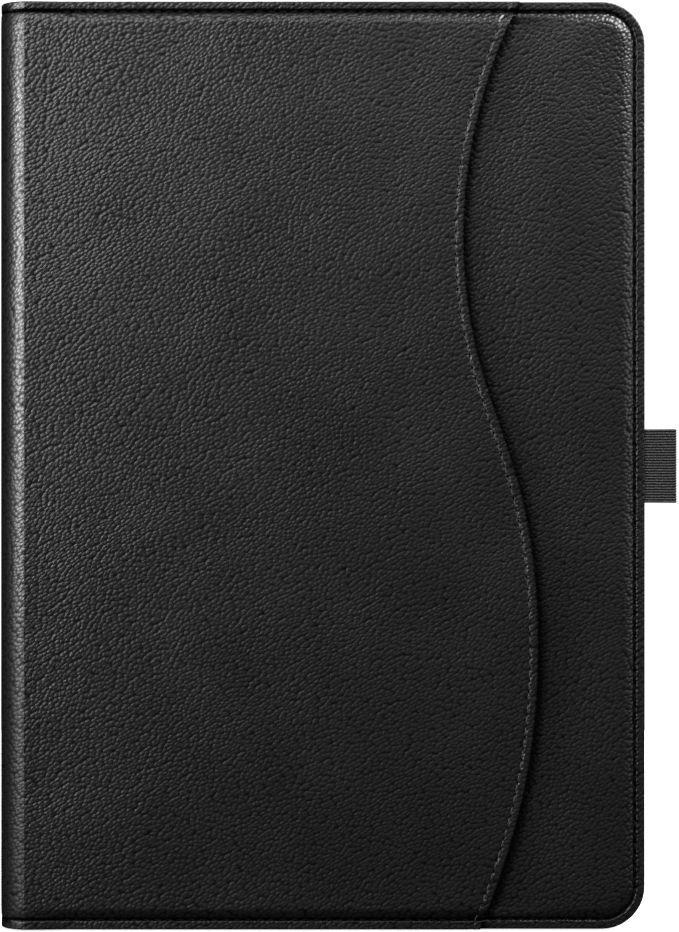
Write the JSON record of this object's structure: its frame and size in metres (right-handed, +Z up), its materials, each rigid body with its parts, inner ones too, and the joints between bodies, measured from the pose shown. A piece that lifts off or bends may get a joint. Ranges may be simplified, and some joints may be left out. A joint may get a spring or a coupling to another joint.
{
  "type": "folio tablet case",
  "caption": "Upright folio case for a tablet: padded covers on a soft spine, curved slip pocket on the front, elastic pen loop, moulded tray inside.",
  "frame": {"origin": "centre of the bounding box at its base: the closed case stands on its bottom edge", "axes": "+Z up along the spine, +Y from the front cover to the back cover, +X from the spine to the fore edge"},
  "size_m": [0.1904, 0.017, 0.26],
  "materials": {
    "leather": "satin",
    "thread": "matte",
    "padding": "matte",
    "board": "matte",
    "lining": "matte",
    "elastic": "matte",
    "steel": "satin",
    "adhesive": "matte",
    "bezel": "matte",
    "tray": "matte",
    "buttons": "satin"
  },
  "bodies": {
    "back_cover": {"back_leather": "leather", "rim_thread_back": "thread", "back_foam": "padding", "back_board": "board", "back_lining": "lining", "tray_bond": "adhesive", "camera_bezel": "bezel", "tray": "tray", "keeper_lower": "steel", "keeper_upper": "steel", "tray_liner": "lining", "back_crease_leather": "leather", "back_crease_filling": "padding", "back_crease_lining": "lining"},
    "spine": {"spine_leather": "leather", "spine_foam": "padding", "spine_board": "board", "spine_lining": "lining", "front_crease_leather": "leather", "front_crease_filling": "padding", "front_crease_lining": "lining"},
    "front_cover": {"pocket_panel": "leather", "pocket_hem": "leather", "pocket_thread": "thread", "rim_thread_panel": "thread", "rim_thread_base": "thread", "front_base_leather": "leather", "front_foam": "padding", "front_board": "board", "front_lining": "lining", "magnet_lower": "steel", "magnet_upper": "steel", "pen_loop": "elastic"},
    "power_button": {"power_button": "buttons"},
    "volume_up_button": {"volume_up_button": "buttons"},
    "volume_down_button": {"volume_down_button": "buttons"}
  },
  "joints": [
    {"name": "spine_hinge", "type": "hinge", "parent": "back_cover", "child": "spine", "pos_m": [-0.093, 0.0066, 0.13], "axis": [0, 0, -1], "range_deg": [0, 180], "deforming": ["back_crease_leather", "back_crease_filling", "back_crease_lining"]},
    {"name": "cover_hinge", "type": "hinge", "parent": "spine", "child": "front_cover", "pos_m": [-0.093, -0.0066, 0.13], "axis": [0, 0, -1], "range_deg": [0, 180], "deforming": ["front_crease_leather", "front_crease_filling", "front_crease_lining"]},
    {"name": "power_button_press", "type": "slide", "parent": "back_cover", "child": "power_button", "axis": [0, 0, -1], "range_m": [0, 0.0005], "stiffness_N_per_m": 1500},
    {"name": "volume_up_press", "type": "slide", "parent": "back_cover", "child": "volume_up_button", "axis": [-1, 0, 0], "range_m": [0, 0.0005], "stiffness_N_per_m": 1500},
    {"name": "volume_down_press", "type": "slide", "parent": "back_cover", "child": "volume_down_button", "axis": [-1, 0, 0], "range_m": [0, 0.0005], "stiffness_N_per_m": 1500}
  ]
}
